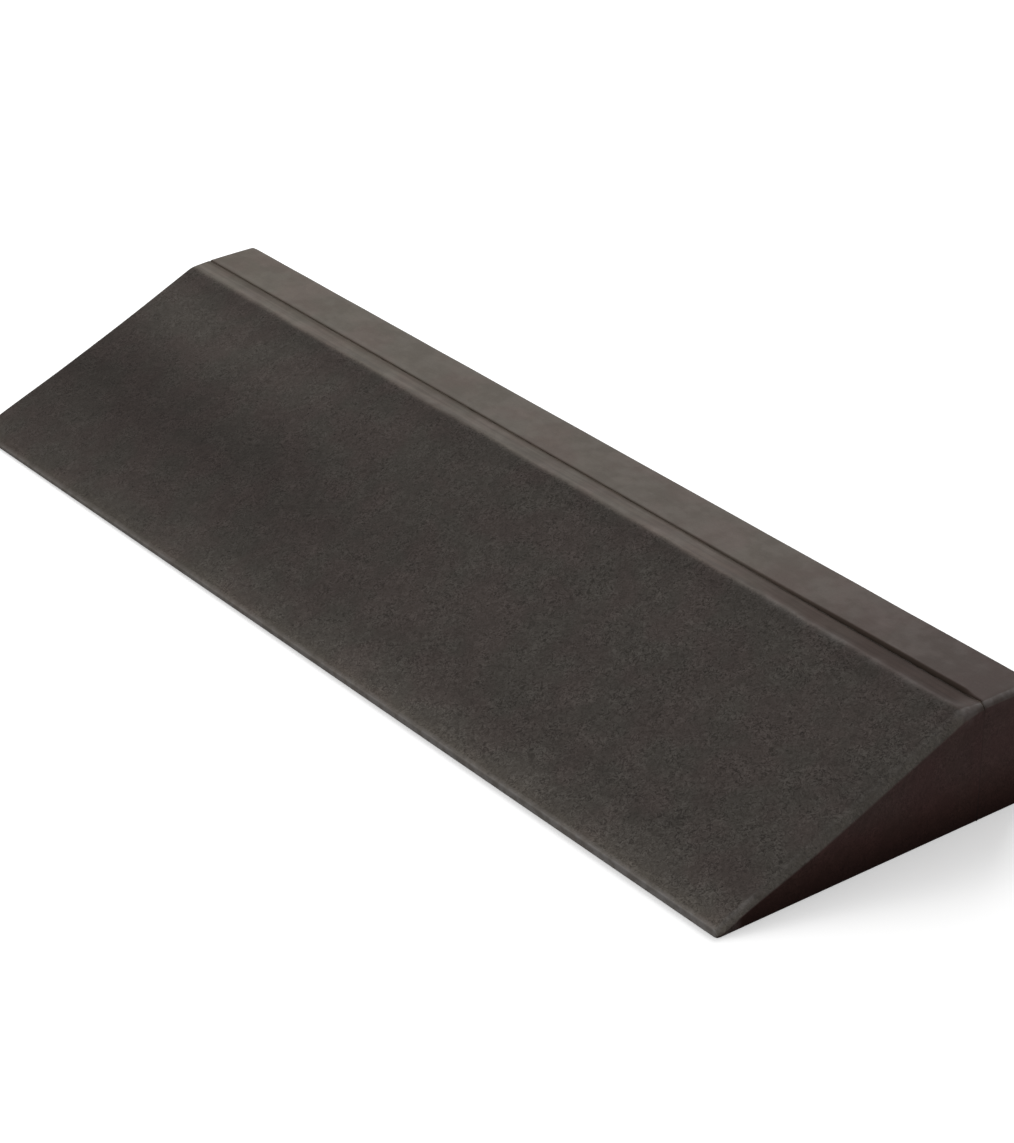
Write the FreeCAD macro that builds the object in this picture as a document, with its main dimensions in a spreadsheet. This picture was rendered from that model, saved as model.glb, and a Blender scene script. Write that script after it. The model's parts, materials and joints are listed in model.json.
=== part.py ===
import FreeCAD, Part
import Sketcher

import math
import os

# Slant board: a firm foam wedge that stands on the floor under the front or the
# back of the feet. A tapered block carries the slope and the crest, a full-height
# rail is glued along its back, and a thin film of contact adhesive lies between.
#
# Frame: millimetres, +X along the board, +Y from the thin front lip to the tall
# rear face, +Z up. The origin is the centre of the base.

OUT = "parts"
TINY = 1e-6

# name, value, what it is
SIZES = [
    ("board_length", 508.0, "end to end, along X"),
    ("board_depth", 152.4, "front lip to rear face, along Y"),
    ("board_height", 50.8, "base to top land, along Z"),
    ("lip_height", 3.0, "upright face at the thin front edge"),
    ("land_width", 36.1, "rear face to the crest, before the crest is rounded"),
    ("rail_width", 25.4, "rear face to the middle of the glued joint"),
    ("crest_radius", 12.0, "rounding where the slope meets the top land"),
    ("end_radius", 2.5, "buffed upper edges at the two ends"),
    ("rear_radius", 1.5, "buffed rear top edge and rear corners"),
    ("toe_radius", 2.0, "plan rounding of the two front corners"),
    ("film_thickness", 0.4, "cured adhesive between block and rail"),
    ("film_drop", 1.0, "depth of the open joint line above the adhesive"),
]

# Places along Y and Z that more than one sub-part uses, as sheet expressions.
REAR = "sizes.board_depth / 2"
CREST = "sizes.board_depth / 2 - sizes.land_width"
BLOCK_BACK = "sizes.board_depth / 2 - sizes.rail_width - sizes.film_thickness / 2"
RAIL_FRONT = "sizes.board_depth / 2 - sizes.rail_width + sizes.film_thickness / 2"
TOP = "sizes.board_height"
FILM_TOP = "sizes.board_height - sizes.film_drop"
HALF_LENGTH = "sizes.board_length / 2"

# How a sketch names its origin and its horizontal axis, and the ends of a line.
ORIGIN = (-1, 1)
AXIS = -1
START = 1
FINISH = 2


def make_sheet(doc):
    """Put every driving size in a spreadsheet, one named cell each."""
    sheet = doc.addObject("Spreadsheet::Sheet", "sizes")
    for row, (name, value, note) in enumerate(SIZES, start=1):
        sheet.set(f"A{row}", name)
        sheet.set(f"B{row}", str(value))
        sheet.set(f"C{row}", note)
        sheet.setAlias(f"B{row}", name)
    doc.recompute()
    return sheet


def new_body(sheet, label):
    """Start one sub-part."""
    body = sheet.Document.addObject("PartDesign::Body", label)
    body.Label = label
    return body


def new_sketch(body, name, role):
    """Add an empty sketch on one of the body's own origin planes."""
    sketch = body.newObject("Sketcher::SketchObject", name)
    plane = next(item for item in body.Origin.OriginFeatures if item.Role == role)
    sketch.AttachmentSupport = [(plane, "")]
    sketch.MapMode = "FlatFace"
    return sketch


def add_outline(sketch, corners):
    """Draw a closed outline of straight lines, join it and square its straight sides."""
    points = [FreeCAD.Vector(across, up, 0) for across, up in corners]
    following = points[1:] + points[:1]
    for start, finish in zip(points, following):
        sketch.addGeometry(Part.LineSegment(start, finish), False)
    for line, (start, finish) in enumerate(zip(points, following)):
        after = (line + 1) % len(points)
        sketch.addConstraint(Sketcher.Constraint("Coincident", line, FINISH, after, START))
        if abs(start.x - finish.x) < TINY:
            sketch.addConstraint(Sketcher.Constraint("Vertical", line))
        if abs(start.y - finish.y) < TINY:
            sketch.addConstraint(Sketcher.Constraint("Horizontal", line))


def drive(sketch, name, kind, refs, expression):
    """Add a dimension and bind it to the sheet."""
    value = float(sketch.evalExpression(expression))
    index = sketch.addConstraint(Sketcher.Constraint(kind, *refs, value))
    sketch.renameConstraint(index, name)
    sketch.setExpression(f"Constraints.{name}", expression)


def pad_both_ways(body, sketch, name):
    """Extrude a section over the whole length, half to each side of its plane."""
    pad = body.newObject("PartDesign::Pad", name)
    pad.Profile = sketch
    pad.SideType = "Symmetric"
    pad.setExpression("Length", "sizes.board_length")
    body.Document.recompute()
    return pad


def require_cut(feature, before):
    """Stop if a feature that takes material away took none."""
    if not feature.Shape.Volume < before.Shape.Volume - TINY:
        raise RuntimeError(f"{feature.Label} removed nothing")


def round_edges(body, base, name, chosen, expression):
    """Fillet the edges of base for which chosen(box of the edge) is true."""
    edges = enumerate(base.Shape.Edges, start=1)
    names = [f"Edge{number}" for number, edge in edges if chosen(edge.BoundBox)]
    fillet = body.newObject("PartDesign::Fillet", name)
    fillet.Base = (base, names)
    fillet.setExpression("Radius", expression)
    body.Document.recompute()
    require_cut(fillet, base)
    return fillet


def along_x(box, y, z):
    """True for a straight edge along X at the given y and z."""
    thin = max(box.YLength, box.ZLength) < TINY
    return thin and max(abs(box.YMin - y), abs(box.ZMin - z)) < TINY


def upper_end(box, half_length):
    """True for the edges round an end face, except the base and the upright ones."""
    on_end = box.XLength < TINY and abs(abs(box.XMin) - half_length) < TINY
    return on_end and box.YLength > TINY and box.ZMin > TINY


def make_slope_block(sheet):
    """Tapered block: front lip, flat slope, rounded crest and the front of the land."""
    body = new_body(sheet, "slope_block")
    rear = sheet.evalExpression(REAR)
    crest = sheet.evalExpression(CREST)
    back = sheet.evalExpression(BLOCK_BACK)
    top = sheet.board_height

    section = new_sketch(body, "block_section", "YZ_Plane")
    add_outline(section, [(-rear, 0), (-rear, sheet.lip_height), (crest, top), (back, top), (back, 0)])
    lip, land = 0, 2
    section.addConstraint(Sketcher.Constraint("PointOnObject", lip, START, AXIS))
    drive(section, "front", "DistanceX", (lip, START, *ORIGIN), REAR)
    drive(section, "lip", "DistanceY", (lip, START, lip, FINISH), "sizes.lip_height")
    drive(section, "crest", "DistanceX", (*ORIGIN, land, START), CREST)
    drive(section, "back", "DistanceX", (*ORIGIN, land, FINISH), BLOCK_BACK)
    drive(section, "top", "DistanceY", (*ORIGIN, land, FINISH), TOP)

    block = pad_both_ways(body, section, "block_pad")
    crest_round = round_edges(
        body, block, "crest_round", lambda box: along_x(box, crest, top), "sizes.crest_radius"
    )
    half_length = sheet.evalExpression(HALF_LENGTH)
    end_round = round_edges(
        body, crest_round, "end_round", lambda box: upper_end(box, half_length), "sizes.end_radius"
    )
    round_toe(body, end_round, sheet)


def toe_waste(outline, sheet, side):
    """Outline what the rounding of one front corner takes away: two sides and an arc."""
    radius = sheet.toe_radius
    end = side * sheet.evalExpression(HALF_LENGTH)
    front = -sheet.evalExpression(REAR)
    corner = FreeCAD.Vector(end, front, 0)
    on_front = corner - FreeCAD.Vector(side * radius, 0, 0)
    on_end = corner + FreeCAD.Vector(0, radius, 0)
    centre = on_front + FreeCAD.Vector(0, radius, 0)
    circle = Part.Circle(centre, FreeCAD.Vector(0, 0, 1), radius)
    # The arc runs anticlockwise: up to the end on the right, down to the front on the left.
    first_angle = -math.pi / 2 if side > 0 else math.pi
    arc_front, arc_end = (START, FINISH) if side > 0 else (FINISH, START)

    along = outline.addGeometry(Part.LineSegment(on_front, corner), False)
    across = outline.addGeometry(Part.LineSegment(corner, on_end), False)
    arc = outline.addGeometry(
        Part.ArcOfCircle(circle, first_angle, first_angle + math.pi / 2), False
    )
    joins = [
        (along, FINISH, across, START),
        (along, START, arc, arc_front),
        (across, FINISH, arc, arc_end),
    ]
    for join in joins:
        outline.addConstraint(Sketcher.Constraint("Coincident", *join))
    outline.addConstraint(Sketcher.Constraint("Horizontal", along))
    outline.addConstraint(Sketcher.Constraint("Vertical", across))

    name = "right" if side > 0 else "left"
    to_end = (*ORIGIN, along, FINISH) if side > 0 else (along, FINISH, *ORIGIN)
    drive(outline, f"{name}_end", "DistanceX", to_end, HALF_LENGTH)
    drive(outline, f"{name}_front", "DistanceY", (along, FINISH, *ORIGIN), REAR)
    drive(outline, f"{name}_reach", "DistanceY", (across, START, across, FINISH), "sizes.toe_radius")
    outline.addConstraint(Sketcher.Constraint("Equal", along, across))
    drive(outline, f"{name}_radius", "Radius", (arc,), "sizes.toe_radius")


def round_toe(body, base, sheet):
    """Cut the two front corners round in plan, through the lip and the slope above it."""
    outline = new_sketch(body, "toe_outline", "XY_Plane")
    toe_waste(outline, sheet, -1)
    toe_waste(outline, sheet, 1)
    pocket = body.newObject("PartDesign::Pocket", "toe_round")
    pocket.Profile = outline
    pocket.SideType = "Symmetric"
    pocket.setExpression("Length", "2 * sizes.board_height")
    body.Document.recompute()
    require_cut(pocket, base)


def make_rear_rail(sheet):
    """Full-height rail along the back, glued to the block's rear face."""
    body = new_body(sheet, "rear_rail")
    front = sheet.evalExpression(RAIL_FRONT)
    rear = sheet.evalExpression(REAR)
    top = sheet.board_height

    section = new_sketch(body, "rail_section", "YZ_Plane")
    add_outline(section, [(front, 0), (front, top), (rear, top), (rear, 0)])
    face, land = 0, 1
    section.addConstraint(Sketcher.Constraint("PointOnObject", face, START, AXIS))
    drive(section, "front", "DistanceX", (*ORIGIN, face, START), RAIL_FRONT)
    drive(section, "rear", "DistanceX", (*ORIGIN, land, FINISH), REAR)
    drive(section, "top", "DistanceY", (face, START, face, FINISH), TOP)

    rail = pad_both_ways(body, section, "rail_pad")
    half_length = sheet.evalExpression(HALF_LENGTH)
    end_round = round_edges(
        body, rail, "end_round", lambda box: upper_end(box, half_length), "sizes.end_radius"
    )
    round_edges(
        body, end_round, "rear_round", lambda box: along_x(box, rear, top), "sizes.rear_radius"
    )


def make_seam_glue(sheet):
    """Adhesive film in the joint, short of the top and following the buffed ends."""
    body = new_body(sheet, "seam_glue")
    front = sheet.evalExpression(BLOCK_BACK)
    rear = sheet.evalExpression(RAIL_FRONT)
    top = sheet.evalExpression(FILM_TOP)

    section = new_sketch(body, "film_section", "YZ_Plane")
    add_outline(section, [(front, 0), (front, top), (rear, top), (rear, 0)])
    face, edge = 0, 1
    section.addConstraint(Sketcher.Constraint("PointOnObject", face, START, AXIS))
    drive(section, "front", "DistanceX", (*ORIGIN, face, START), BLOCK_BACK)
    drive(section, "film", "DistanceX", (edge, START, edge, FINISH), "sizes.film_thickness")
    drive(section, "top", "DistanceY", (face, START, face, FINISH), FILM_TOP)

    film = pad_both_ways(body, section, "film_pad")
    half_length = sheet.evalExpression(HALF_LENGTH)
    round_edges(
        body, film, "end_round", lambda box: upper_end(box, half_length), "sizes.end_radius"
    )


def require_sound(doc):
    """Stop if any object failed or any sub-part has no valid shape."""
    for item in doc.Objects:
        if "Invalid" in item.State or "Error" in item.State:
            raise RuntimeError(f"{item.Label} failed: {item.State}")
    for body in doc.findObjects("PartDesign::Body"):
        if body.Shape.isNull() or not body.Shape.isValid():
            raise RuntimeError(f"{body.Label} has no valid shape")


def main():
    """Build the document, check it and write one file per sub-part."""
    doc = FreeCAD.newDocument("slant_board")
    sheet = make_sheet(doc)
    make_slope_block(sheet)
    make_rear_rail(sheet)
    make_seam_glue(sheet)
    doc.recompute()
    require_sound(doc)
    os.makedirs(OUT, exist_ok=True)
    for body in doc.findObjects("PartDesign::Body"):
        body.Shape.exportStep(f"{OUT}/{body.Label}.step")


main()
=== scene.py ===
import json
import math

import bpy
import numpy as np
from bpy.props import FloatProperty, FloatVectorProperty, PointerProperty
from bpy.types import Operator, Panel, PropertyGroup
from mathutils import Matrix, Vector


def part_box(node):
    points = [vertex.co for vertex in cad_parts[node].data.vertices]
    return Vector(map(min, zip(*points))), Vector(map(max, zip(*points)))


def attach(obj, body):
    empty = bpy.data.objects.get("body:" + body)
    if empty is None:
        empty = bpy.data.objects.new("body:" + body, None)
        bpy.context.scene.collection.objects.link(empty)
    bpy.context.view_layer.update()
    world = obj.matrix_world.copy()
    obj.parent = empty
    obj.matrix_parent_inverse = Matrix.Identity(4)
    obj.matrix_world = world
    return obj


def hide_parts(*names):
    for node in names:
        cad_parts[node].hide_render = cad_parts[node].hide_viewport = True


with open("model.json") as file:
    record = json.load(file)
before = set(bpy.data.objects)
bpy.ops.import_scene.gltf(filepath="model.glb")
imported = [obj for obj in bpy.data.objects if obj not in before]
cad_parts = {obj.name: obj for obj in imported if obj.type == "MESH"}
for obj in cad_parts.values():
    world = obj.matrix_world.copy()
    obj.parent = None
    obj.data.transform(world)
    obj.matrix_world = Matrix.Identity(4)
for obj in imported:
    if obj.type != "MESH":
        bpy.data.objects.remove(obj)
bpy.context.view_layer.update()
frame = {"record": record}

bl_info = {
    "name": "Slant board",
    "version": (1, 0, 0),
    "blender": (4, 5, 0),
    "location": "3D View > Sidebar > Slant board",
    "description": "Builds a firm foam wedge for foot and ankle stretching, and a plain studio",
    "category": "Add Mesh",
}

# A foam wedge in metres, +X along the board, +Y from the thin lip to the rear face
# and +Z up, with the origin at the centre of the base. Lengths, places and the tilt
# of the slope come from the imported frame. The settings below say how the real foam
# departs from it: how the edges were buffed and how far the hand-cut faces wander.

BLOCK_LOW, BLOCK_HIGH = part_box("slope_block")
RAIL_LOW, RAIL_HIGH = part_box("rear_rail")
GLUE_LOW, GLUE_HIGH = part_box("seam_glue")
SLOPE = next(m for m in frame["record"]["mounts"] if m["name"] == "slope_face")
RISE = -SLOPE["axis"][1] / SLOPE["axis"][2]
LIP_Z = SLOPE["pos_m"][2] + RISE * (BLOCK_LOW[1] - SLOPE["pos_m"][1])
CREST_Y = SLOPE["pos_m"][1] + (BLOCK_HIGH[2] - SLOPE["pos_m"][2]) / RISE

MM = 0.001
QUARTER = math.pi / 2

# How far the outermost flat columns stay inside the tangent lines, as a share of half
# the length between those lines.
END_MARGIN = 0.004

# Seeds of the ripples, one for each uneven line or face.
SLOW_CREST_SEED = 3
QUICK_CREST_SEED = 4
SLOPE_SEED = 5
RIDGE_SEED = 9
RAIL_SEED = 11
BEAD_SEED = 21

# The float masks of the foam meshes, then the tints and plain tones of the materials.
MASKS = ("tone", "skin", "pale", "joint_shade", "sawn", "torn")
REDDISH = (1.05, 0.972, 0.98, 1.0)
GREENISH = (0.978, 1.008, 0.985, 1.0)
BROWNISH = (1.02, 1.0, 0.985, 1.0)
BLUISH = (0.98, 1.0, 1.02, 1.0)
ROSY = (1.05, 0.72, 0.78, 1.0)
RUSTY = (1.2, 0.8, 0.62, 1.0)
WHITE = (1.0, 1.0, 1.0, 1.0)
BLACK = (0.0, 0.0, 0.0, 1.0)


# ---------------------------------------------------------------- settings


def length(name, description, default):
    """A size in metres that Blender shows in its own length unit."""
    return FloatProperty(name=name, description=description, default=default, unit="LENGTH", precision=5)


def colour(name, description, default):
    """A linear colour."""
    return FloatVectorProperty(
        name=name, description=description, default=default, subtype="COLOR", size=3, min=0, max=1
    )


def share(name, description, default):
    """A part of one."""
    return FloatProperty(name=name, description=description, default=default, min=0, max=1, subtype="FACTOR")


class BlockSettings(PropertyGroup):
    lip_left: length("Lip at left", "Height of the front lip at the left end", 0.6 * LIP_Z)
    lip_right: length("Lip at right", "Height of the front lip at the right end", 1.1 * LIP_Z)
    lip_ease: length("Lip edge", "Rounding of the lip's top edge", 0.45 * MM)
    toe_radius: length("Front corners", "Rounding of the two front corners in plan", 2.0 * MM)
    dish: length("Dish", "How far the slope sags below a straight line", 0.8 * MM)
    crest_radius: length("Crest radius", "Rounding where the slope meets the land", 11.0 * MM)
    crest_wander: length("Crest wander", "How far the crest line strays sideways", 0.6 * MM)
    land_drop: length("Land drop", "How far the land lies below the rail", 0.3 * MM)
    groove: length("Groove", "How far the land sinks beside the rail towards the right end", 0.6 * MM)


class EdgeSettings(PropertyGroup):
    end_slope: length("End radius, slope", "Buffed end edge beside the slope", 5.0 * MM)
    end_land: length("End radius, land", "Buffed end edge beside the land and the rail", 2.8 * MM)
    end_toe: share("Toe share", "Size of the slope's end radius at the toe beside the rest of it", 0.68)
    end_left: share("Left end", "Size of the left end's radii beside the right end's", 0.5)
    end_left_land: share("Left land", "The same for the land and the rail", 0.35)
    rear_left: length("Rear radius, left", "Buffed rear top edge at the left end", 2.0 * MM)
    rear_right: length("Rear radius, right", "Buffed rear top edge at the right end", 0.9 * MM)
    rear_corner: length("Rear corners", "Rounding of the two rear corners in plan", 3.0 * MM)
    seam: length("Seam radius", "Soft edges at the top of the glued joint", 0.6 * MM)
    bead_rise: length("Bead rise", "How far the adhesive's bead stands above its film", 0.5 * MM)
    seam_open: length("Seam opening", "How much rounder the rail's seam edge is at the right", 1.3 * MM)
    base: length("Base radius", "Soft edge round the underside", 0.5 * MM)
    wander: length("Wander", "How far the buffed faces are from true", 0.1 * MM)


class ToneSettings(PropertyGroup):
    # Painted light and shade: toe and high_left are partly painted sheen, and the patch high on the left is
    # not worn; middle_left and brow are partly painted shade, middle and right painted shade of the light
    # falling off along the board, groove painted shade in the sunken groove and floor painted shade beside
    # the floor.
    toe: share("Toe", "How much paler the slope is along the toe", 0.3)
    high_left: share("High left", "How much paler a worn patch high on the left is", 0.26)
    middle_left: share("Middle left", "How much darker the slope is across its middle at the left", 0.3)
    brow: share("Brow", "How much darker a narrow strip under the crest is", 0.12)
    middle: share("Middle", "How much darker the skin is at the middle than at the left end", 0.12)
    right: share("Right", "How much darker again the skin is at the right end", 0.36)
    groove: share("Groove", "How much darker the land is beside the groove", 0.12)
    floor: share("Floor", "How much darker the sawn ends are beside the floor", 0.8)


class FoamSettings(PropertyGroup):
    cut: colour("Cut foam", "The slope, cut through the cells", (0.0523, 0.0446, 0.0396))
    # The skin is lighter than the cut foam partly in its own colour and partly as painted sheen, the grazing
    # reflection of the bright surround.
    skin: colour("Skin", "Smooth skin of the land, the rail and the lip", (0.0880, 0.0725, 0.0580))
    sawn: colour("Sawn foam", "The two ends, the rear face and the underside", (0.064, 0.0385, 0.0358))
    # Painted highlight: this pale colour is laid on the crest, the lip, the rear edge and the buffed end
    # edges where light catches them.
    pale: colour("Rubbed foam", "Edges and ridges that hands and floors have polished", (0.235, 0.221, 0.214))
    # Painted shade: this dark brown is laid along the joint and on the sunken land, standing for the shade in
    # the crease between block and rail.
    joint_shade: colour("Grime", "Brown dirt and old adhesive beside the joint", (0.024, 0.0165, 0.012))
    # Painted shade inside the open cells.
    pit: colour("Pit", "Inside of an open cell", (0.012, 0.010, 0.009))
    cell_size: length("Cell size", "Size of the torn cells on a cut face", 2.2 * MM)
    patch_size: length("Patch size", "Size of the soft light and dark patches", 26.0 * MM)
    glue: colour("Adhesive", "Cured contact adhesive in the joint", (0.022, 0.0155, 0.011))
    glue_pale: colour("Adhesive, dusty", "Strings of adhesive at the top of the joint", (0.125, 0.095, 0.068))


class StudioSettings(PropertyGroup):
    azimuth: FloatProperty(
        name="Azimuth", description="Camera's turn towards +X", default=math.radians(52.2183), unit="ROTATION"
    )
    elevation: FloatProperty(
        name="Elevation", description="Camera's height above the horizon", default=math.radians(28.5088),
        unit="ROTATION",
    )
    distance: length("Distance", "Camera to aim point", 1.50873)
    aside: length("Aside", "How far the camera's axis passes to the right of the aim point", 0.02553)
    above: length("Above", "How far the camera's axis passes above the aim point", 0.013101)
    aim_y: length("Aim", "Place of the aim point along Y", -0.00508)
    lens: FloatProperty(name="Lens", description="Focal length in millimetres", default=115.685)
    floor: colour("Floor", "Plain pale floor", (0.86, 0.86, 0.86))
    floor_bounce: share("Floor bounce", "How much of its light the floor throws back", 0.35)
    floor_glow: share("Floor glow", "How much the floor glows to the eye", 0.4)
    key_power: FloatProperty(name="Key light", description="Watts, above and behind", default=30.0)
    fill_power: FloatProperty(name="Fill light", description="Watts, front left", default=6.0)
    sky: FloatProperty(name="Surround", description="Brightness of the white surround", default=0.55)


class SlantBoardSettings(PropertyGroup):
    block: PointerProperty(type=BlockSettings)
    edges: PointerProperty(type=EdgeSettings)
    tone: PointerProperty(type=ToneSettings)
    foam: PointerProperty(type=FoamSettings)
    studio: PointerProperty(type=StudioSettings)
    spacing: length("Grid spacing", "Largest step of the surface grids", 2.0 * MM)


# ---------------------------------------------------------------- surfaces


def smooth(value, low, high):
    """0 up to low, 1 from high, and an even S-shaped rise between them."""
    part = np.clip((value - low) / (high - low), 0, 1)
    return part * part * (3 - 2 * part)


def bell(value, middle, width):
    """1 at the middle, falling away evenly on both sides."""
    return np.exp(-(((value - middle) / width) ** 2))


def ripple(x, y, wavelength, seed):
    """Soft unevenness from about -1 to 1: a few sine waves of nearly one length, whose
    headings and phases come from the seed, added together and scaled down."""
    draw = np.random.default_rng(seed)
    waves = 5
    total = 0
    for _ in range(waves):
        heading = draw.uniform(0, math.tau)
        pace = math.tau / (wavelength * draw.uniform(0.7, 1.5))
        phase = draw.uniform(0, math.tau)
        total = total + np.sin((x * math.cos(heading) + y * math.sin(heading)) * pace + phase)
    return total / (0.6 * waves)


def grid_lines(inner, rolls):
    """Lines across a face whose two sides roll over. Gives three values for each line:
    its place between the two tangent lines, from -1 to 1; the sine of how far it has
    turned round a side's edge, signed by side; and one minus the cosine of that turn.
    The inner places lie strictly between the tangent lines."""
    flat = np.concatenate([[-1], inner, [1]])
    turn = np.linspace(0, QUARTER, rolls + 1)[1:]
    still = np.zeros(len(flat))
    place = np.concatenate([np.full(rolls, -1.0), flat, np.full(rolls, 1.0)])
    reach = np.concatenate([-np.sin(turn[::-1]), still, np.sin(turn)])
    fall = np.concatenate([1 - np.cos(turn[::-1]), still, 1 - np.cos(turn)])
    return place, reach, fall


def even_places(span, step, margin):
    """Even places from -1 to 1 with a step of at most the given length over the span,
    the outermost ones a margin inside the tangent lines to hold the flat part flat."""
    return np.linspace(-1 + margin, 1 - margin, int(span / step) + 1)


def crest_places(front, back, step):
    """Places from lip to seam, from -1 to 1: even steps up the slope, and steps a third
    as long from shortly below the crest to the seam."""
    low, high = front + 1.5 * MM, back - 1 * MM
    bend = CREST_Y - 5 * MM
    slope = np.linspace(low, bend, int((bend - low) / step), endpoint=False)
    top = np.linspace(bend, high, int(3 * (high - bend) / step))
    depth = np.concatenate([slope, top])
    return 2 * (depth - front) / (back - front) - 1


def box_sheets(columns, rows, levels):
    """The six sheets of a box as index grids of two parameters. Yields, for each, the
    column, row and level of every point, turned so that its quads face outwards."""
    last = (columns - 1, rows - 1, levels - 1)
    sizes = (columns, rows, levels)
    for axis in range(3):
        one, two = (axis + 1) % 3, (axis + 2) % 3
        across, along = np.meshgrid(np.arange(sizes[one]), np.arange(sizes[two]), indexing="ij")
        for end in (0, last[axis]):
            index = [None, None, None]
            index[axis] = np.full(across.shape, end)
            index[one], index[two] = across, along
            yield [grid if end else grid.T for grid in index]


def box_skin(columns, rows, levels):
    """Closed skin of a box of grid points: the distinct points' column, row and level,
    and the quads between them, with the shared edges of the six sheets merged."""
    quads = []
    for column, row, level in box_sheets(columns, rows, levels):
        key = (column * rows + row) * levels + level
        ring = (key[:-1, :-1], key[1:, :-1], key[1:, 1:], key[:-1, 1:])
        quads.append(np.stack([part.ravel() for part in ring], axis=-1))
    keys, faces = np.unique(np.concatenate(quads), return_inverse=True)
    return keys // (rows * levels), keys // levels % rows, keys % levels, faces.reshape(-1, 4)


def new_piece(name, points, faces, masks):
    """Make a smooth-shaded mesh object from whole arrays, with one float mask each."""
    mesh = bpy.data.meshes.new(name)
    mesh.from_pydata(points.tolist(), [], faces.tolist())
    for mask, values in masks.items():
        layer = mesh.attributes.new(mask, "FLOAT", "POINT")
        layer.data.foreach_set("value", np.ascontiguousarray(values, dtype=np.float32))
    mesh.shade_smooth()
    mesh.update()
    piece = bpy.data.objects.new(name, mesh)
    bpy.context.collection.objects.link(piece)
    return piece


def finish_foam(piece, node, material):
    """Hand a foam piece to the frame in place of its CAD node."""
    piece.data.materials.append(material)
    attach(piece, "root")
    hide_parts(node)


def end_radius(place, y, edges):
    """Radius of the buffed end edges at depth y: S-shaped curves take it from the toe's
    to the slope's and on to the land's. It is smaller at the left end, where place is
    below 0."""
    land = smooth(y, CREST_Y - 2 * MM, CREST_Y + 12 * MM)
    toe = 1 - smooth(y, BLOCK_LOW[1] + 8 * MM, BLOCK_LOW[1] + 50 * MM)
    slope = edges.end_slope * (1 + (edges.end_toe - 1) * toe)
    radius = slope + (edges.end_land - slope) * land
    left = edges.end_left + (edges.end_left_land - edges.end_left) * land
    return radius * np.where(place < 0, left, 1)


def standing_level(level, levels, steps, radius, top):
    """Height and inset of a wall's points. The lowest steps turn round the base edge:
    height is radius times one minus the sine of the turn, inset is radius times one
    minus its cosine. The rest share out the height that is left evenly."""
    turn = QUARTER * np.clip(1 - level / steps, 0, 1)
    share_up = np.clip((level - steps) / (levels - 1 - steps), 0, 1)
    height = np.where(level < steps, radius * (1 - np.sin(turn)), radius + (top - radius) * share_up)
    return height, radius * (1 - np.cos(turn))


def round_corners(x, y, half, wall, radius):
    """Bend the plan's two square corners at a wall to arcs: within radius of both sides,
    each distance from the arc's centre is shortened by the root of one minus half the
    square of the other, which turns a square's outline into a circle."""
    over_x = np.clip((np.abs(x) - (half - radius)) / radius, 0, 1)
    over_y = np.clip((radius - np.abs(wall - y)) / radius, 0, 1)
    bent_x = over_x * np.sqrt(1 - over_y**2 / 2)
    bent_y = over_y * np.sqrt(1 - over_x**2 / 2)
    x = x - np.sign(x) * radius * (over_x - bent_x)
    y = y - np.sign(wall) * radius * (over_y - bent_y)
    return x, y


def groove_depth(across):
    """How much of the groove beside the rail there is along the board: none at the left,
    all of it near the right end, and none again at the end edge, where it was buffed."""
    return smooth(across, 0.6, 0.93) * (1 - smooth(across, 0.98, 0.998))


def crest_line(x, block):
    """Depth of the crest along the board, with a slow and a quick waver."""
    slow = ripple(x, 0 * x, 70 * MM, SLOW_CREST_SEED)
    quick = ripple(x, 0 * x, 13 * MM, QUICK_CREST_SEED)
    return CREST_Y + block.crest_wander * (0.6 * slow + 0.4 * quick)


def block_height(x, y, block, edges):
    """Height of the slope block's top. The slope is a straight rise from the lip, less a
    dish; the land is level, less its groove. The crest takes the lower of the two,
    blended by a parabola as wide as the crest radius asks: its curvature is the rise
    squared over twice the blend."""
    half = BLOCK_HIGH[0]
    across = (x + half) / (2 * half)
    lip = block.lip_left + (block.lip_right - block.lip_left) * smooth(across, 0.0, 0.9)
    crest = crest_line(x, block)
    behind = np.clip((y - crest) / (BLOCK_HIGH[1] - crest), 0, 1)
    brow = BLOCK_HIGH[2] - block.land_drop
    land = brow - block.groove * groove_depth(across) * behind

    up = (y - BLOCK_LOW[1]) / (crest - BLOCK_LOW[1])
    inside = np.clip(up, 0, 1)
    dish = block.dish * (inside / 0.6) ** 1.5 * ((1 - inside) / 0.4) * (1 - 0.35 * across)
    slope = lip + (brow - lip) * up - dish
    slope = slope + edges.wander * ripple(x, y, 60 * MM, SLOPE_SEED) * smooth(inside, 0.0, 0.25)

    blend = block.crest_radius * RISE**2 / 2
    near = np.clip(1 - np.abs(slope - land) / blend, 0, 1)
    return np.minimum(slope, land) - blend / 4 * near**2


def slope_tone(across, up, tones):
    """How light the cut slope is, about 1: paler along the toe and in a patch high on the left,
    darker across the middle at the left and in a strip under the crest. It is partly the
    foam's own tone and partly painted sheen and shade."""
    toe = (1 - smooth(up, 0.03, 0.2)) * (0.4 + 0.95 * smooth(across, 0.0, 0.7))
    high_left = bell(up, 0.82, 0.14) * (1 - smooth(across, 0.12, 0.42))
    middle_left = bell(up, 0.45, 0.22) * (1 - smooth(across, 0.2, 0.6))
    brow = bell(up, 0.97, 0.05)
    paler = tones.toe * toe + tones.high_left * high_left
    return 1 + paler - tones.middle_left * middle_left - tones.brow * brow


def wall_tone(z, tones):
    """How light a sawn wall is: painted shade, darkest beside the floor."""
    return 1 - tones.floor * (1 - smooth(z, -3 * MM, 28 * MM))


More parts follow.
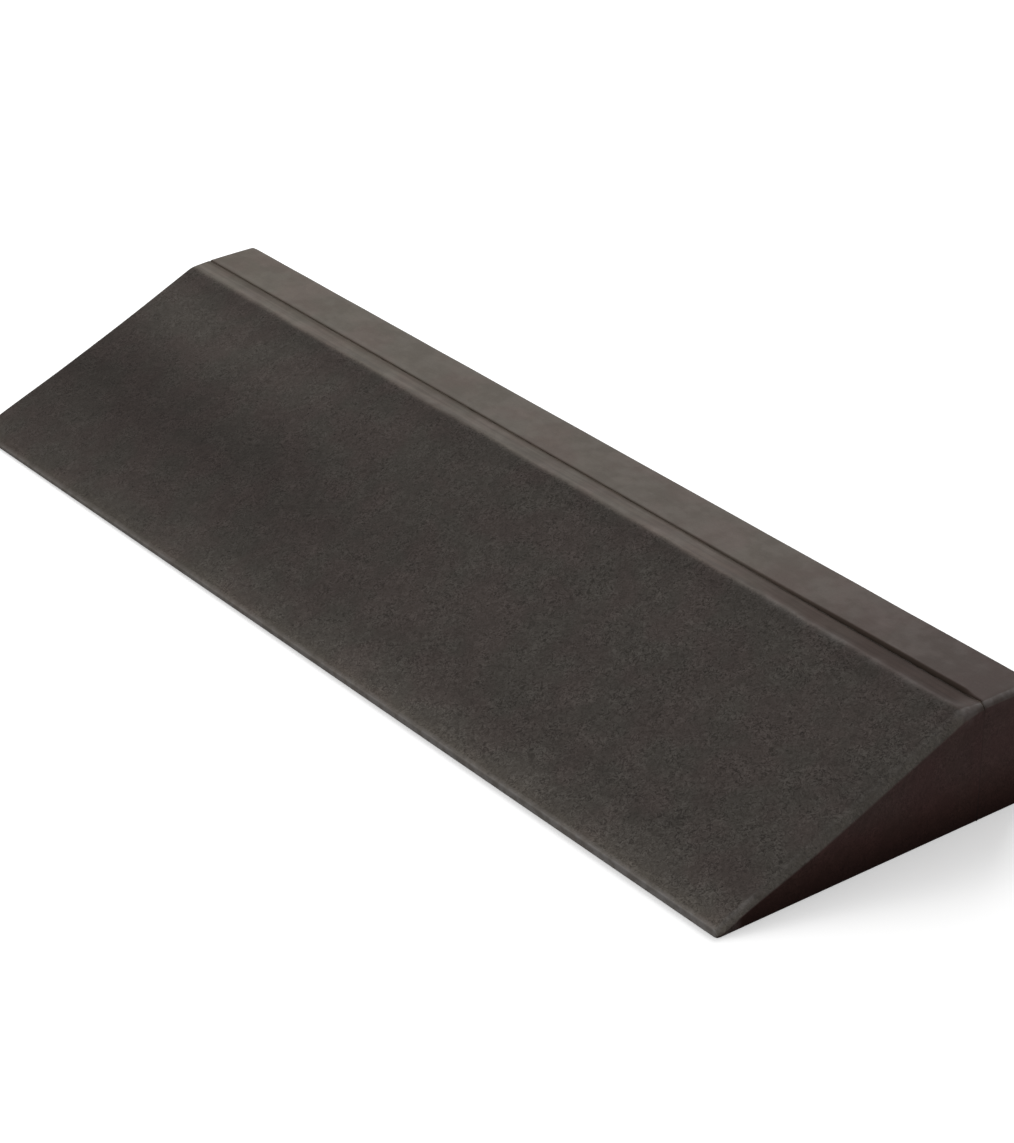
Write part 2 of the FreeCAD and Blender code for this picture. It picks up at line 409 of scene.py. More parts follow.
def end_band(fall, y, rounded):
    """Painted highlight on the buffed end edges. Beside the slope it grows down the edge, but
    near the toe, and beside the land and the rail, it is strongest at the top of it."""
    land = smooth(y, CREST_Y - 4 * MM, CREST_Y + 3 * MM)
    toe = 1 - smooth(y - BLOCK_LOW[1], 12 * MM, 24 * MM)
    start = smooth(fall, 0.0, 0.1) * (0.1 + 0.25 * toe * (1 - smooth(fall, 0.2, 0.5)))
    low = (start + 0.05 * smooth(fall, 0.1, 0.7)) * (1 - smooth(fall, 0.93, 1.0))
    high = (0.58 - 0.32 * smooth(fall, 0.2, 0.6)) * smooth(fall, 0.0, 0.1) * (1 - smooth(fall, 0.75, 1.0))
    return (low + (high - low) * land) * rounded


def torn_cells(across, skin, sawn):
    """How strongly torn cells mark a face: hardly on skin, less at the left end, where
    the slope is worn, and less again on the sawn walls."""
    return 0.12 + 0.88 * np.clip(1 - skin, 0, 1) * (0.6 + 0.4 * smooth(across, 0.0, 0.9)) * (1 - 0.6 * sawn)


def skin_tone(across, tones):
    """How light the skin is along the board: painted shade of the light falling off, darker
    towards the right end.
    """
    return 1 - tones.middle * smooth(across, 0.0, 0.8) - tones.right * smooth(across, 0.7, 1.0)


def make_slope_block(settings, material):
    """The tapered block: a box of grid lines. Across, columns run from end to end and
    roll over at the ends; in depth, rows run from lip to seam; the top follows
    block_height, the walls hang straight below it and the base is flat, with its outer
    edges eased. The masks follow from how far a point is past the crest, up the slope,
    before the seam and round a rolled edge."""
    block, edges, tones, step = settings.block, settings.edges, settings.tone, settings.spacing
    half, front, back = BLOCK_HIGH[0], BLOCK_LOW[1], BLOCK_HIGH[1]
    end_rolls, side_rolls, base_rolls, levels = 7, 4, 3, 16
    columns = grid_lines(even_places(2 * half, step, END_MARGIN), end_rolls)
    rows = grid_lines(crest_places(front, back, step), side_rolls)
    column, row, level, faces = box_skin(len(columns[0]), len(rows[0]), levels)

    place, reach, fall = (line[row] for line in rows)
    radius = np.where(reach < 0, block.lip_ease, edges.seam)
    low, high = front + block.lip_ease, back - edges.seam
    y = (low + high) / 2 + place * (high - low) / 2 + reach * radius
    drop = fall * radius
    lip_turn = fall * (reach < 0)

    place, reach, fall = (line[column] for line in columns)
    unrolled = block_height(place * half, y, block, edges) - drop
    roll = np.minimum(end_radius(place, y, edges), 0.75 * unrolled)
    x = place * (half - roll) + reach * roll
    top = block_height(x, y, block, edges) - drop - fall * roll

    z, inset = standing_level(level, levels, base_rolls, edges.base, top)
    on_end = np.abs(place + reach) >= 2
    x = x * (1 - inset / half)
    middle = (front + back) / 2
    y = y + np.maximum(middle - y, 0) * inset / (back - middle)
    x, y = round_corners(x, y, half, front, block.toe_radius)

    across = (x + half) / (2 * half)
    past = y - crest_line(x, block)
    up = (y - front) / (CREST_Y - front)
    behind = back - y
    upper = level == levels - 1
    bared = smooth(across, 0.69, 0.82) * (1 - smooth(across, 0.975, 0.995))
    rounded = np.abs(reach) > 0

    on_land = smooth(past, -1.2 * MM, 1.9 * MM)
    on_lip = smooth(front + 0.7 * MM - y, 0.0, 0.5 * MM)
    beside_toe = 0.25 * (1 - smooth(y - front, 0.5 * MM, 7 * MM))
    on_roll = smooth(fall, 0.0, 0.5) * (0.25 + 0.55 * smooth(past, -8 * MM, 0.0))
    skin = np.where(upper, np.maximum(np.maximum(on_land, beside_toe), on_roll), 0)
    skin = np.maximum(skin, on_lip)

    # Painted highlights: a stripe behind the crest, the lip's top edge and the buffed end edges; the lip face
    # is painted lighter as if lit by the floor in front.
    ridge = bell(past, (2.9 - 2.0 * bared) * MM, (1.9 + 0.3 * bared) * MM) * (0.07 + 0.05 * bared)
    ridge = ridge * (1 + 0.6 * ripple(x, 0 * x, 16 * MM, RIDGE_SEED))
    toe_edge = smooth(lip_turn, 0.0, 0.3) * (0.35 + 0.6 * across)
    band = end_band(fall, y, rounded)
    pale = np.where(upper, np.maximum(np.maximum(ridge, toe_edge), band), 0)
    pale = np.maximum(pale, (0.5 + 0.35 * across) * on_lip)

    # Painted shade along the joint, wider at the left and deeper where the groove is, and painted shade over
    # the sunken land towards the right end.
    spill = (5.5 - 3.2 * smooth(across, 0.15, 0.5)) * MM
    joint_shade = np.where(upper, (1 - smooth(behind, 0.4 * MM, spill)) ** 1.5, 0)
    dull = np.maximum((0.45 + 0.3 * groove_depth(across)) * joint_shade, 0.4 * bared * (upper & ~rounded))
    joint_shade = dull * smooth(past, 0.8 * MM, 3 * MM)
    facet = 1 - smooth(y - front, 9 * MM, 12 * MM)
    walls = np.where(on_end | (level == 0) | ((y > back - 0.1 * MM) & ~upper), 1.0, 0.0)
    sawn = np.maximum(walls, smooth(fall, 0.9, 1.0)) * (1 - on_lip) * (1 - 0.8 * facet * (level > 0))
    # Painted shade: the land is darker beside the groove towards the right end.
    land_tone = skin_tone(across, tones) * (1 - tones.groove * bared * smooth(past, -0.6 * MM, 3 * MM))
    tone = slope_tone(across, np.clip(up, 0, 1), tones)
    tone = tone + (land_tone - tone) * smooth(past, -1.6 * MM, 1.4 * MM)
    # Painted highlight on the buffed end edges beside the slope, where the turned surface gets less light.
    beside_slope = rounded * smooth(fall, 0.0, 0.1) * (1 - smooth(past, -4 * MM, 3 * MM))
    tone = tone * (1 + beside_slope * (0.22 + 0.2 * smooth(fall, 0.1, 0.7)))
    tone = np.where(upper, tone, 1)
    tone = tone + (wall_tone(z, tones) - tone) * sawn
    torn = torn_cells(across, skin, sawn)

    masks = {"tone": tone, "skin": skin, "pale": pale, "joint_shade": joint_shade, "sawn": sawn, "torn": torn}
    piece = new_piece("foam_slope_block", np.stack([x, y, z], -1), faces, masks)
    finish_foam(piece, "slope_block", material)


def make_rear_rail(settings, material):
    """The rail: the same box of grid lines, with a buffed rear edge and a soft seam edge.
    Its top is level, less a crown that grows with the square of the distance from the
    middle of its depth, and less a ripple."""
    edges, tones, step = settings.edges, settings.tone, settings.spacing
    half, front, back = RAIL_HIGH[0], RAIL_LOW[1], RAIL_HIGH[1]
    end_rolls, side_rolls, base_rolls, levels = 7, 5, 3, 22
    columns = grid_lines(even_places(2 * half, step, END_MARGIN), end_rolls)
    rows = grid_lines(even_places(back - front, step / 2, 0.04), side_rolls)
    column, row, level, faces = box_skin(len(columns[0]), len(rows[0]), levels)

    place, reach, fall = (line[row] for line in rows)
    across = (1 + columns[0][column]) / 2
    seam = edges.seam + edges.seam_open * groove_depth(across)
    rear = edges.rear_left + (edges.rear_right - edges.rear_left) * across
    radius = np.where(reach < 0, seam, rear)
    low, high = front + seam, back - rear
    y = (low + high) / 2 + place * (high - low) / 2 + reach * radius
    drop = fall * radius
    rear_fall = fall * (reach > 0)

    place, reach, fall = (line[column] for line in columns)
    roll = end_radius(place, y, edges)
    x = place * (half - roll) + reach * roll
    crown = edges.wander * ((2 * (y - front) / (back - front) - 1) ** 2)
    uneven = edges.wander * (1 + ripple(x, y, 45 * MM, RAIL_SEED)) / 2
    top = RAIL_HIGH[2] - crown - uneven - drop - fall * roll

    z, inset = standing_level(level, levels, base_rolls, edges.base, top)
    on_end = np.abs(place + reach) >= 2
    x = x * (1 - inset / half)
    middle = (front + back) / 2
    y = y + np.minimum(middle - y, 0) * inset / (back - middle)
    x, y = round_corners(x, y, half, back, edges.rear_corner)

    behind = y - front
    upper = level == levels - 1
    rounded = np.abs(reach) > 0
    skin = np.where(upper, 1.0, 0.0)
    # Painted highlights: the buffed end edges, the rear top edge, and a strip beside the seam at the left
    # end.
    band = end_band(fall, y, rounded)
    rear_edge = 0.08 * smooth(behind, (back - front) - 5 * MM, (back - front) - 1 * MM) * (1 - across)
    seam_edge_highlight = bell(behind, 2.2 * MM, 1.2 * MM) * 0.07 * (1 - across)
    pale = np.where(upper, np.maximum(np.maximum(band, rear_edge), seam_edge_highlight), 0)
    # Painted shadow on the rail's seam edge, wider and darker where the rail stands above the sunken land.
    open_seam = groove_depth(across) ** 2
    seam_shadow = 1 - smooth(behind, (0.2 + 1.1 * open_seam) * MM, (1.2 + 1.1 * open_seam) * MM)
    joint_shade = np.where(upper, seam_shadow * (0.45 + 0.95 * open_seam), 0)
    walls = np.where(on_end | ~upper, 1.0, 0.0)
    sawn = np.maximum(walls, np.maximum(smooth(fall, 0.9, 1.0), smooth(rear_fall, 0.7, 1.0)))
    tone = np.where(upper, skin_tone(across, tones), 1)
    tone = tone + (wall_tone(z, tones) - tone) * sawn
    torn = torn_cells(across, skin, sawn)
    masks = {"tone": tone, "skin": skin, "pale": pale, "joint_shade": joint_shade, "sawn": sawn, "torn": torn}
    piece = new_piece("foam_rear_rail", np.stack([x, y, z], -1), faces, masks)
    finish_foam(piece, "rear_rail", material)


def make_glue_line(settings, material):
    """The adhesive film: a thin upright sheet between the foam faces. Its rows turn half
    round from face to face: out by the sine of the turn and down by one minus its cosine,
    times half the thickness. Its top edge is an uneven bead that dips and rises a few
    tenths of a millimetre, and its ends follow the buffed end edges."""
    edges, step = settings.edges, settings.spacing
    half = GLUE_HIGH[0]
    end_rolls, turn_rows, levels = 6, 5, 12
    columns = grid_lines(even_places(2 * half, step, END_MARGIN), end_rolls)
    half_turn = np.linspace(-QUARTER, QUARTER, turn_rows)
    column, row, level, faces = box_skin(len(columns[0]), len(half_turn), levels)

    front, back = GLUE_LOW[1], GLUE_HIGH[1]
    radius = (back - front) / 2
    turn = half_turn[row]
    y = (front + back) / 2 + np.sin(turn) * radius
    drop = (1 - np.cos(turn)) * radius

    place, reach, fall = (line[column] for line in columns)
    roll = end_radius(place, y, edges) + 0.2 * MM
    x = place * (half - roll) + reach * roll
    across = (x + half) / (2 * half)
    wander = 0.15 * MM * ripple(x, 0 * x, 9 * MM, BEAD_SEED)
    rise = edges.bead_rise - settings.block.groove * groove_depth(across)
    top = GLUE_HIGH[2] + rise + wander - drop - fall * roll
    z = top * level / (levels - 1)

    x = x * (1 - 0.03 * MM / half)
    bead = smooth(z, GLUE_HIGH[2] - 1.5 * MM, GLUE_HIGH[2] + edges.bead_rise) * (1 - groove_depth(across))
    sawn = np.where(np.abs(place + reach) >= 2, 1.0, smooth(fall, 0.9, 1.0))
    masks = {"tone": wall_tone(z, settings.tone), "bead": bead, "sawn": sawn}
    piece = new_piece("glue_line", np.stack([x, y, z], -1), faces, masks)
    piece.data.materials.append(material)
    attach(piece, "root")
    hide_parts("seam_glue")


# --------------------------------------------------------------- materials


def add(tree, kind, inputs=(), **properties):
    """Add a shader node. A socket given as an input is linked, a value is set."""
    node = tree.nodes.new(f"ShaderNode{kind}")
    for key, value in properties.items():
        setattr(node, key, value)
    for key, value in dict(inputs).items():
        if isinstance(value, bpy.types.NodeSocket):
            tree.links.new(value, node.inputs[key])
        else:
            node.inputs[key].default_value = value
    return node


def calculate(tree, operation, *values):
    """One Math node's result."""
    return add(tree, "Math", enumerate(values), operation=operation).outputs[0]


def spread(tree, value, low, high, to_low, to_high):
    """Map one range to another, without going past its ends."""
    inputs = {"Value": value, "From Min": low, "From Max": high, "To Min": to_low, "To Max": to_high}
    return add(tree, "MapRange", inputs, interpolation_type="SMOOTHSTEP").outputs["Result"]


def between(tree, factor, first, second):
    """Mix two numbers."""
    return add(tree, "Mix", {0: factor, 2: first, 3: second}, data_type="FLOAT").outputs[0]


def blend_colours(tree, factor, first, second, how="MIX"):
    """Mix two colours."""
    inputs = {0: factor, 6: first, 7: second}
    return add(tree, "Mix", inputs, data_type="RGBA", blend_type=how).outputs[2]


def noise(tree, vector, scale, detail=2.0, **more):
    """A noise from 0 to 1, mostly between 0.3 and 0.7."""
    inputs = {"Vector": vector, "Scale": scale, "Detail": detail, **more}
    return add(tree, "TexNoise", inputs).outputs["Fac"]


def mask_of(tree, name):
    """A float mask that the mesh carries."""
    return add(tree, "Attribute", attribute_name=name).outputs["Fac"]


def opaque(rgb):
    """A colour with full alpha."""
    return (*rgb, 1.0)


def new_group(name, inputs, outputs):
    """Start a shader node group with float or vector inputs and float outputs."""
    group = bpy.data.node_groups.new(name, "ShaderNodeTree")
    for label, kind in inputs:
        group.interface.new_socket(label, in_out="INPUT", socket_type=kind)
    for label in outputs:
        group.interface.new_socket(label, in_out="OUTPUT", socket_type="NodeSocketFloat")
    return group, group.nodes.new("NodeGroupInput"), group.nodes.new("NodeGroupOutput")


def shifted(tree, vector, place):
    """The same space, moved so that a second noise differs from the first."""
    return add(tree, "Mapping", {"Vector": vector, "Location": place}).outputs["Vector"]


def patch_group():
    """Soft patches: Light is a smooth value from 0 to 1 in two sizes of patch, Warm is
    how reddish a patch is, and Smear marks a few patches with one firm border."""
    inputs = [("Vector", "NodeSocketVector"), ("Size", "NodeSocketFloat")]
    group, given, result = new_group("soft_patches", inputs, ["Light", "Warm", "Smear"])
    vector = given.outputs["Vector"]
    scale = calculate(group, "DIVIDE", 1.0, given.outputs["Size"])
    broad = noise(group, vector, scale)
    small = noise(group, vector, calculate(group, "MULTIPLY", scale, 4.3))
    both = calculate(group, "MULTIPLY_ADD", small, 0.9, broad)
    group.links.new(spread(group, both, 0.68, 1.22, 0.0, 1.0), result.inputs["Light"])
    larger = calculate(group, "MULTIPLY", scale, 1.3)
    warm = noise(group, shifted(group, vector, (0.31, 0.17, 0.53)), larger)
    group.links.new(spread(group, warm, 0.36, 0.64, 0.0, 1.0), result.inputs["Warm"])
    smear = noise(group, shifted(group, vector, (0.71, 0.43, 0.11)), larger, 1.0)
    group.links.new(spread(group, smear, 0.6, 0.64, 0.0, 1.0), result.inputs["Smear"])
    return group


def curls(tree, vector, scale, width):
    """Thin curly lines: where a noise passes through its middle value."""
    value = noise(tree, vector, scale, 1.0, Distortion=0.7)
    off = calculate(tree, "ABSOLUTE", calculate(tree, "SUBTRACT", value, 0.5))
    return spread(tree, off, 0.0, width, 1.0, 0.0)


def cell_group():
    """Cut foam. Marks is the light and dark of torn cell walls, 0.5 on average: curly
    lines that show in clusters, over a fine grain. Grain is that grain alone, Height is
    for a bump, and Pit marks the few cells that stand wide open."""
    inputs = [("Vector", "NodeSocketVector"), ("Size", "NodeSocketFloat")]
    group, given, result = new_group("torn_cells", inputs, ["Marks", "Grain", "Height", "Pit"])
    vector = given.outputs["Vector"]
    scale = calculate(group, "DIVIDE", 1.0, given.outputs["Size"])
    grain = noise(group, vector, calculate(group, "MULTIPLY", scale, 2.2))
    other = shifted(group, vector, (0.13, 0.29, 0.37))
    where = noise(group, vector, calculate(group, "MULTIPLY", scale, 0.25))
    here = spread(group, where, 0.36, 0.64, 0.42, 1.0)
    lines = calculate(group, "SUBTRACT", curls(group, other, scale, 0.07), curls(group, vector, scale, 0.07))
    rough = calculate(group, "MULTIPLY_ADD", calculate(group, "SUBTRACT", grain, 0.5), 0.6, lines)
    cloud = calculate(group, "MULTIPLY_ADD", where, 0.22, 0.39)
    marks = calculate(group, "MULTIPLY_ADD", calculate(group, "MULTIPLY", rough, here), 0.38, cloud)
    cells = add(group, "TexVoronoi", {"Vector": vector, "Scale": scale, "Randomness": 1.0})
    chance = add(group, "SeparateColor", {"Color": cells.outputs["Color"]}).outputs["Red"]
    rare = spread(group, chance, 0.93, 0.95, 0.0, 1.0)
    pit = calculate(group, "MULTIPLY", rare, spread(group, cells.outputs["Distance"], 0.1, 0.3, 1.0, 0.0))
    group.links.new(marks, result.inputs["Marks"])
    group.links.new(grain, result.inputs["Grain"])
    group.links.new(calculate(group, "SUBTRACT", marks, pit), result.inputs["Height"])
    group.links.new(pit, result.inputs["Pit"])
    return group


def use_group(tree, group, **inputs):
    """Place a node group in a material."""
    node = tree.nodes.new("ShaderNodeGroup")
    node.node_tree = group
    for key, value in inputs.items():
        if isinstance(value, bpy.types.NodeSocket):
            tree.links.new(value, node.inputs[key])
        else:
            node.inputs[key].default_value = value
    return node.outputs


def new_material(name):
    """An empty node material, its tree and its Principled shader."""
    material = bpy.data.materials.new(name)
    material.use_nodes = True
    tree = material.node_tree
    return material, tree, tree.nodes["Principled BSDF"]


def foam_material(name, foam, groups, start, streaks):
    """Charcoal closed-cell foam. The mesh's masks say how light it is, partly with painted
    light and shade, and where it is smooth skin, painted pale as a highlight, darkened with
    painted shade along the joint or sawn; elsewhere it is cut through the cells. Start moves
    the patterns, so that they don't run on across the joint, and streaks is how strongly
    buffing has streaked the skin lengthwise."""
    material, tree, shader = new_material(name)
    place = shifted(tree, add(tree, "TexCoord").outputs["Object"], start)
    tone, skin, pale, joint_shade, sawn, torn = (mask_of(tree, mask) for mask in MASKS)
    patches = use_group(tree, groups["patches"], Vector=place, Size=foam.patch_size)
    cells = use_group(tree, groups["cells"], Vector=place, Size=foam.cell_size)
    grain = calculate(tree, "SUBTRACT", cells["Grain"], 0.5)

    # The skin breaks off raggedly: the grain moves its edge, and leaves 0 and 1 alone.
    bare = calculate(tree, "SUBTRACT", 1.0, skin)
    border = calculate(tree, "MULTIPLY", calculate(tree, "MULTIPLY", skin, bare), 3.2)
    skin = calculate(tree, "MULTIPLY_ADD", border, grain, skin)
    bare = calculate(tree, "SUBTRACT", 1.0, skin)

    base = blend_colours(tree, skin, opaque(foam.cut), opaque(foam.skin))
    base = blend_colours(tree, sawn, base, opaque(foam.sawn))
    # duller is one minus tone, so these tints grow where tone paints shade and make the painted shade redder.
    duller = calculate(tree, "SUBTRACT", 1.0, tone)
    warm = calculate(tree, "MULTIPLY_ADD", patches["Warm"], 0.8, duller)
    tint = blend_colours(tree, warm, GREENISH, REDDISH)
    base = blend_colours(tree, 1.0, base, tint, "MULTIPLY")
    rosy = blend_colours(tree, calculate(tree, "MULTIPLY", duller, skin), WHITE, ROSY)
    base = blend_colours(tree, 1.0, base, rosy, "MULTIPLY")
    rusty = blend_colours(tree, calculate(tree, "MULTIPLY", duller, sawn), WHITE, RUSTY)
    base = blend_colours(tree, 1.0, base, rusty, "MULTIPLY")
    cast = blend_colours(tree, spread(tree, cells["Marks"], 0.2, 0.8, 0.0, 1.0), BROWNISH, BLUISH)
    smear = calculate(tree, "MULTIPLY", calculate(tree, "MULTIPLY", patches["Smear"], skin), 0.06)
    even = spread(tree, patches["Light"], 0.0, 1.0, 0.965, 1.035)
    uneven = spread(tree, patches["Light"], 0.0, 1.0, 0.94, 1.06)
    patch = calculate(tree, "ADD", between(tree, bare, even, uneven), smear)
    drawn = add(tree, "Mapping", {"Vector": place, "Scale": (0.05, 1.0, 1.0)}).outputs["Vector"]
    streak = spread(tree, noise(tree, drawn, 620.0), 0.3, 0.7, 1 - streaks, 1 + streaks)
    patch = calculate(tree, "MULTIPLY", patch, between(tree, bare, streak, 1.0))
    mark = spread(tree, cells["Marks"], 0.0, 1.0, 0.45, 1.55)
    mark = between(tree, torn, 1.0, mark)
    base = blend_colours(tree, torn, base, blend_colours(tree, 1.0, base, cast, "MULTIPLY"))
    # The tone mask brings painted light and shade into the colour here.
    lit = calculate(tree, "MULTIPLY", calculate(tree, "MULTIPLY", patch, mark), tone)
    shade = add(tree, "CombineColor", {"Red": lit, "Green": lit, "Blue": lit}).outputs["Color"]
    base = blend_colours(tree, 1.0, base, shade, "MULTIPLY")

    patchy = spread(tree, noise(tree, place, 260.0), 0.35, 0.62, 0.55, 1.0)
    # Painted highlights in the pale colour, then painted shade along the joint.
    base = blend_colours(tree, calculate(tree, "MULTIPLY", pale, patchy), base, opaque(foam.pale))
    base = blend_colours(tree, calculate(tree, "MULTIPLY", joint_shade, 0.62), base, opaque(foam.joint_shade))
    # Painted shade inside the open cells; the bump sinks them too.
    open_pit = calculate(tree, "MULTIPLY", cells["Pit"], calculate(tree, "MULTIPLY", bare, 0.6))
    base = blend_colours(tree, open_pit, base, opaque(foam.pit))
    tree.links.new(base, shader.inputs["Base Color"])

    glossy = spread(tree, patches["Light"], 0.0, 1.0, 0.63, 0.57)
    rough = between(tree, bare, glossy, 0.88)
    rough = between(tree, calculate(tree, "MULTIPLY", pale, 0.5), rough, 0.45)
    rough = between(tree, joint_shade, rough, 0.95)
    tree.links.new(rough, shader.inputs["Roughness"])
    shader.inputs["Specular IOR Level"].default_value = 0.12

    coarse = calculate(tree, "MULTIPLY", cells["Height"], calculate(tree, "MULTIPLY_ADD", bare, 0.9, 0.1))
    height = calculate(tree, "MULTIPLY_ADD", cells["Grain"], 0.15, coarse)
    bump = add(tree, "Bump", {"Height": height, "Distance": 0.18 * MM, "Strength": 0.7})
    tree.links.new(bump.outputs["Normal"], shader.inputs["Normal"])
    return material


def glue_material(foam):
    """Cured contact adhesive: dark, slightly glossy, in a stringy uneven bead. Where it
    was sawn with the foam, foam dust hides most of it."""
    material, tree, shader = new_material("cured_adhesive")
    place = add(tree, "TexCoord").outputs["Object"]
    stretch = add(tree, "Mapping", {"Vector": place, "Scale": (0.35, 1.0, 1.0)}).outputs["Vector"]
    strings = noise(tree, stretch, 900.0, 3.0)
    light = calculate(tree, "MULTIPLY", strings, mask_of(tree, "bead"))
    tone = blend_colours(tree, light, opaque(foam.glue), opaque(foam.glue_pale))
    # Painted shade: the film's sawn edge is darkened, darkest beside the floor.
    wall = calculate(tree, "MULTIPLY", mask_of(tree, "tone"), 0.8)
    wall = blend_colours(tree, wall, BLACK, opaque(foam.sawn))
    tone = blend_colours(tree, mask_of(tree, "sawn"), tone, wall)
    tree.links.new(tone, shader.inputs["Base Color"])
    rough = between(tree, mask_of(tree, "sawn"), spread(tree, strings, 0.3, 0.7, 0.5, 0.75), 0.9)
    tree.links.new(rough, shader.inputs["Roughness"])
    shader.inputs["Specular IOR Level"].default_value = 0.15
    bump = add(tree, "Bump", {"Height": strings, "Distance": 0.1 * MM, "Strength": 0.6})
    tree.links.new(bump.outputs["Normal"], shader.inputs["Normal"])
    return material


def shared_groups():
    """Both effect groups, built once."""
    found = bpy.data.node_groups
    return {
        "patches": found.get("soft_patches") or patch_group(),
        "cells": found.get("torn_cells") or cell_group(),
    }


# ------------------------------------------------------------------ studio


def make_floor(studio):
    """A plain pale floor. To the eye it also glows a little, so that it meets the white
    surround with no horizon; to the board it throws back only part of its light, so that
    the ends of the board stay dark."""
    reach = 15.0
    corners = [(-reach, -reach, 0), (reach, -reach, 0), (reach, reach, 0), (-reach, reach, 0)]
    mesh = bpy.data.meshes.new("floor")
    mesh.from_pydata(corners, [], [(0, 1, 2, 3)])
    floor = bpy.data.objects.new("floor", mesh)
    bpy.context.collection.objects.link(floor)
    material, tree, shader = new_material("pale_floor")
    seen = add(tree, "LightPath").outputs["Is Camera Ray"]
    dim = tuple(studio.floor_bounce * part for part in studio.floor)
    glow = tuple(studio.floor_glow * part for part in studio.floor)
    tone = blend_colours(tree, seen, opaque(dim), opaque(studio.floor))
    tree.links.new(tone, shader.inputs["Base Color"])
    tree.links.new(blend_colours(tree, seen, BLACK, opaque(glow)), shader.inputs["Emission Color"])
    shader.inputs["Emission Strength"].default_value = 1.0
    shader.inputs["Roughness"].default_value = 0.9
    shader.inputs["Specular IOR Level"].default_value = 0.1
    mesh.materials.append(material)


def add_softbox(name, place, aim, size, power):
    """A square area light that faces its aim."""
    lamp = bpy.data.lights.new(name, "AREA")
    lamp.shape = "SQUARE"
    lamp.size = size
    lamp.energy = power
    box = bpy.data.objects.new(name, lamp)
    box.location = place
    box.rotation_mode = "QUATERNION"
    box.rotation_quaternion = (Vector(aim) - Vector(place)).to_track_quat("-Z", "Y")
    bpy.context.collection.objects.link(box)


def make_lights(studio):
    """A white surround, a large softbox above and behind to the left, and a weak fill
    in front on the left. Both softboxes face the origin."""
    aim = (0.0, 0.0, 0.0)
    key_place, key_size = (-1.1, 1.2, 1.5), 1.3
    fill_place, fill_size = (-0.9, -1.8, 1.0), 1.2
    world = bpy.data.worlds.new("surround")
    world.use_nodes = True
    back = world.node_tree.nodes["Background"]
    back.inputs["Color"].default_value = WHITE
    back.inputs["Strength"].default_value = studio.sky
    bpy.context.scene.world = world
    add_softbox("key_softbox", key_place, aim, key_size, studio.key_power)
    add_softbox("fill_softbox", fill_place, aim, fill_size, studio.fill_power)


def make_camera(studio):
    """A long lens that stands off from an aim point on the floor, half-way along the
    board, and is not rolled. Its axis passes a little to the right of that point and
    above it."""
    turn, lift = studio.azimuth, studio.elevation
    back = Vector(
        (math.sin(turn) * math.cos(lift), -math.cos(turn) * math.cos(lift), math.sin(lift))
    )
    right = Vector((math.cos(turn), math.sin(turn), 0))
    up = back.cross(right)
    lens = bpy.data.cameras.new("studio_camera")
    lens.lens = studio.lens
    camera = bpy.data.objects.new("studio_camera", lens)
    aim = Vector((0, studio.aim_y, 0))
    camera.location = aim + back * studio.distance + right * studio.aside + up * studio.above
    camera.rotation_mode = "QUATERNION"
    camera.rotation_quaternion = (-back).to_track_quat("-Z", "Y")
    bpy.context.collection.objects.link(camera)
    bpy.context.scene.camera = camera


# --------------------------------------------------------------- operators


class SLANTBOARD_OT_studio(Operator):
    """Add the camera, the pale floor and the soft lights"""

    bl_idname = "slantboard.studio"
    bl_label = "Studio"

    def execute(self, context):
        studio = context.scene.slant_board.studio
        context.scene.view_settings.view_transform = "Standard"
        make_camera(studio)
        make_floor(studio)
        make_lights(studio)
        return {"FINISHED"}


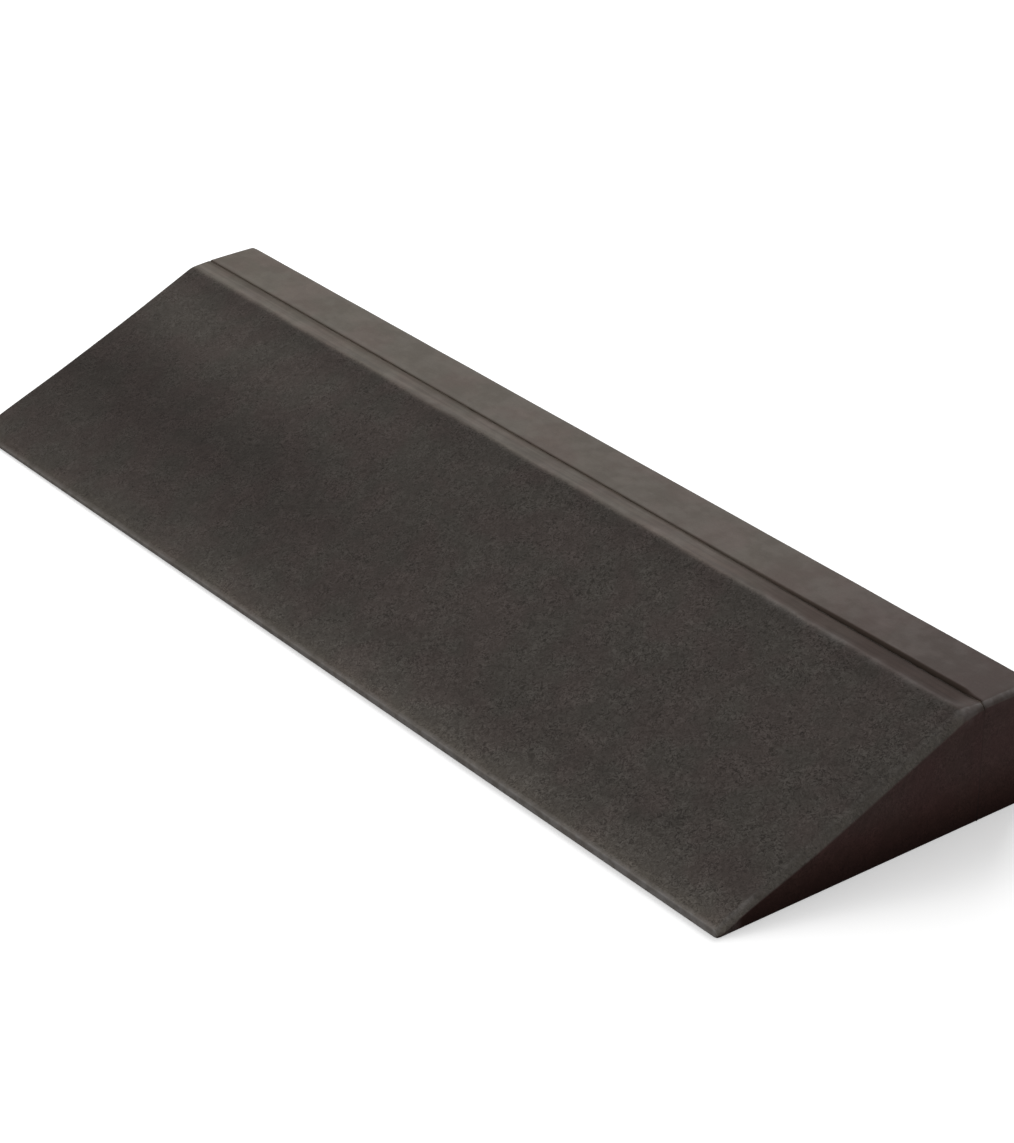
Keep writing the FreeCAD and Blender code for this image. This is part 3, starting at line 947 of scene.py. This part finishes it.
class SLANTBOARD_OT_slope_block(Operator):
    """Add the tapered foam block that carries the slope and the crest"""

    bl_idname = "slantboard.slope_block"
    bl_label = "Slope block"

    def execute(self, context):
        settings = context.scene.slant_board
        material = foam_material("cut_foam", settings.foam, shared_groups(), (0.0, 0.0, 0.0), 0.14)
        make_slope_block(settings, material)
        return {"FINISHED"}


class SLANTBOARD_OT_rear_rail(Operator):
    """Add the full-height foam rail behind the block"""

    bl_idname = "slantboard.rear_rail"
    bl_label = "Rear rail"

    def execute(self, context):
        settings = context.scene.slant_board
        material = foam_material("skin_foam", settings.foam, shared_groups(), (0.37, 0.11, 0.23), 0.02)
        make_rear_rail(settings, material)
        return {"FINISHED"}


class SLANTBOARD_OT_glue_line(Operator):
    """Add the film of cured adhesive between block and rail"""

    bl_idname = "slantboard.glue_line"
    bl_label = "Glue line"

    def execute(self, context):
        settings = context.scene.slant_board
        make_glue_line(settings, glue_material(settings.foam))
        return {"FINISHED"}


class SLANTBOARD_PT_sidebar(Panel):
    """Lists the steps and every setting in the 3D view's sidebar"""

    bl_label = "Slant board"
    bl_idname = "SLANTBOARD_PT_sidebar"
    bl_space_type = "VIEW_3D"
    bl_region_type = "UI"
    bl_category = "Slant board"

    def draw(self, context):
        settings = context.scene.slant_board
        for step in STEPS:
            self.layout.operator(step.bl_idname)
        self.layout.prop(settings, "spacing")
        for part in ("block", "edges", "tone", "foam", "studio"):
            box = self.layout.box()
            group = getattr(settings, part)
            for name in group.__annotations__:
                box.prop(group, name)


STEPS = (
    SLANTBOARD_OT_studio,
    SLANTBOARD_OT_slope_block,
    SLANTBOARD_OT_rear_rail,
    SLANTBOARD_OT_glue_line,
)
CLASSES = (
    BlockSettings,
    EdgeSettings,
    ToneSettings,
    FoamSettings,
    StudioSettings,
    SlantBoardSettings,
    *STEPS,
    SLANTBOARD_PT_sidebar,
)


def register():
    for kind in CLASSES:
        bpy.utils.register_class(kind)
    bpy.types.Scene.slant_board = PointerProperty(type=SlantBoardSettings)


def unregister():
    del bpy.types.Scene.slant_board
    for kind in reversed(CLASSES):
        bpy.utils.unregister_class(kind)


def main():
    """Register the add-on and run its operators in order."""
    register()
    for step in STEPS:
        family, name = step.bl_idname.split(".")
        getattr(getattr(bpy.ops, family), name)()


if __name__ == "__main__":
    main()
